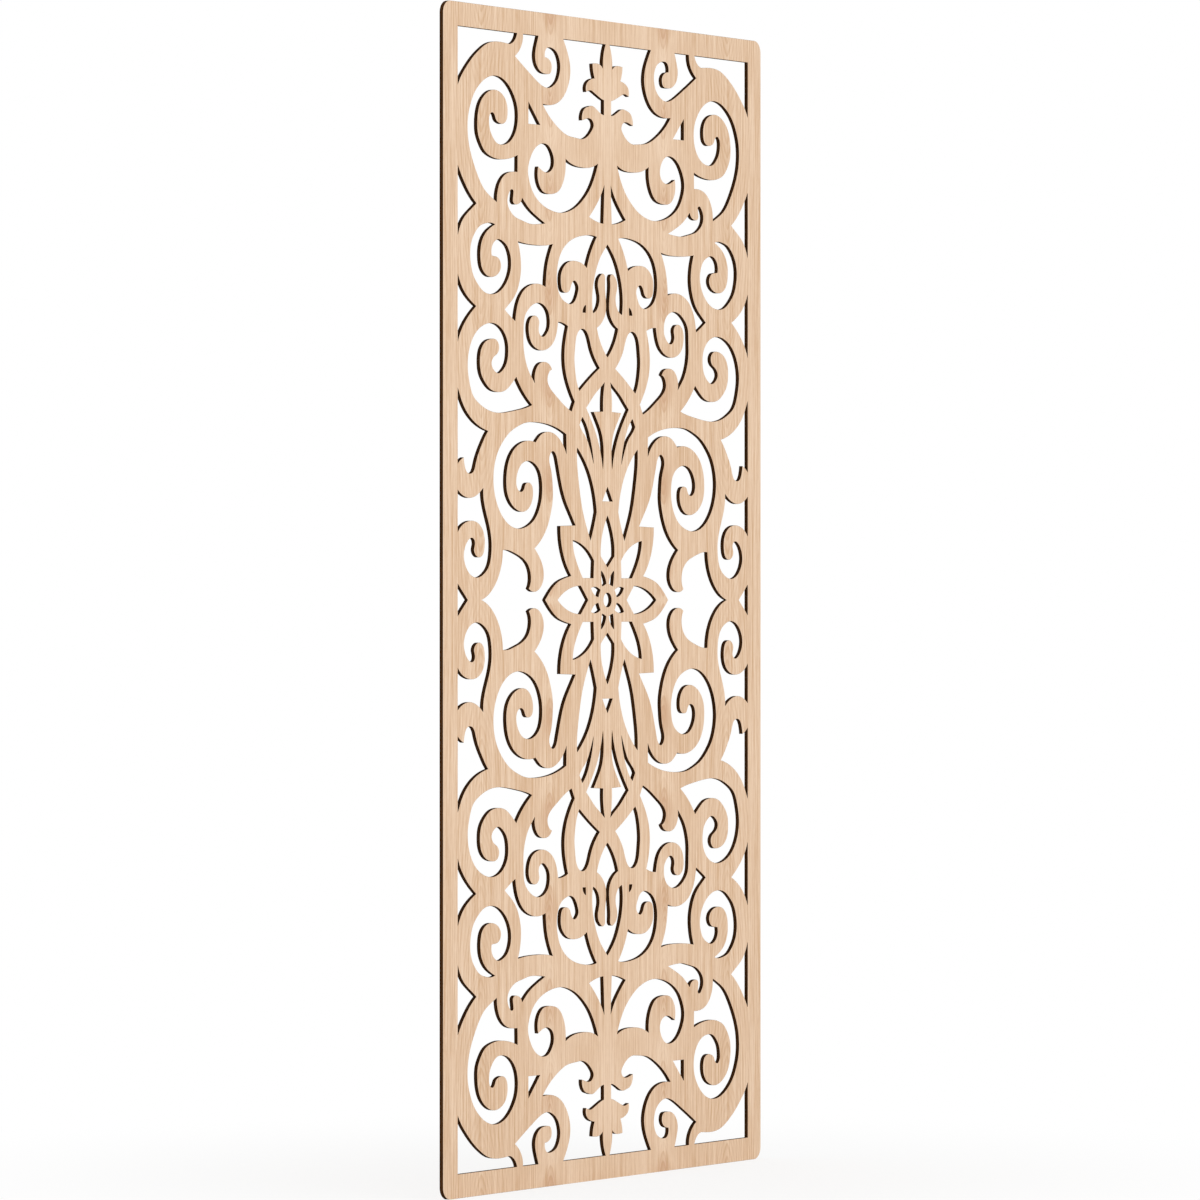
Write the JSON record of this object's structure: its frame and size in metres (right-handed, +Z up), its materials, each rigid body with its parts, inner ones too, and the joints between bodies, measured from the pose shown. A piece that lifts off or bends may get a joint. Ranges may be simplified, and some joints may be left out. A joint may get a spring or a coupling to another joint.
{
  "type": "fretwork panel",
  "caption": "Tall flat fretwork panel of laser-cut plywood, with a plain border and a mirrored scroll and flower pattern cut right through it.",
  "frame": {"origin": "middle of the panel in width, height and thickness", "axes": "+Z up along the panel's height, +X to the right across its width seen from the show face, show face towards -Y"},
  "size_m": [0.8986, 0.0064, 1.813],
  "materials": {
    "show_veneer": "unfinished sanded hardwood veneer with upright grain",
    "crossband": "laser-charred edge of a ply with level grain",
    "core": "laser-charred edge of a ply with upright grain",
    "back_veneer": "unfinished sanded rotary-cut veneer",
    "glue": "cured adhesive film, charred at the cut edge"
  },
  "bodies": {
    "root": {"front_veneer_upper_left": "show_veneer", "front_veneer_upper_right": "show_veneer", "front_veneer_lower_left": "show_veneer", "front_veneer_lower_right": "show_veneer", "front_face_glue_line": "glue", "front_crossband": "crossband", "front_core_glue_line": "glue", "core_ply": "core", "back_core_glue_line": "glue", "back_crossband": "crossband", "back_face_glue_line": "glue", "back_veneer": "back_veneer"}
  },
  "joints": []
}
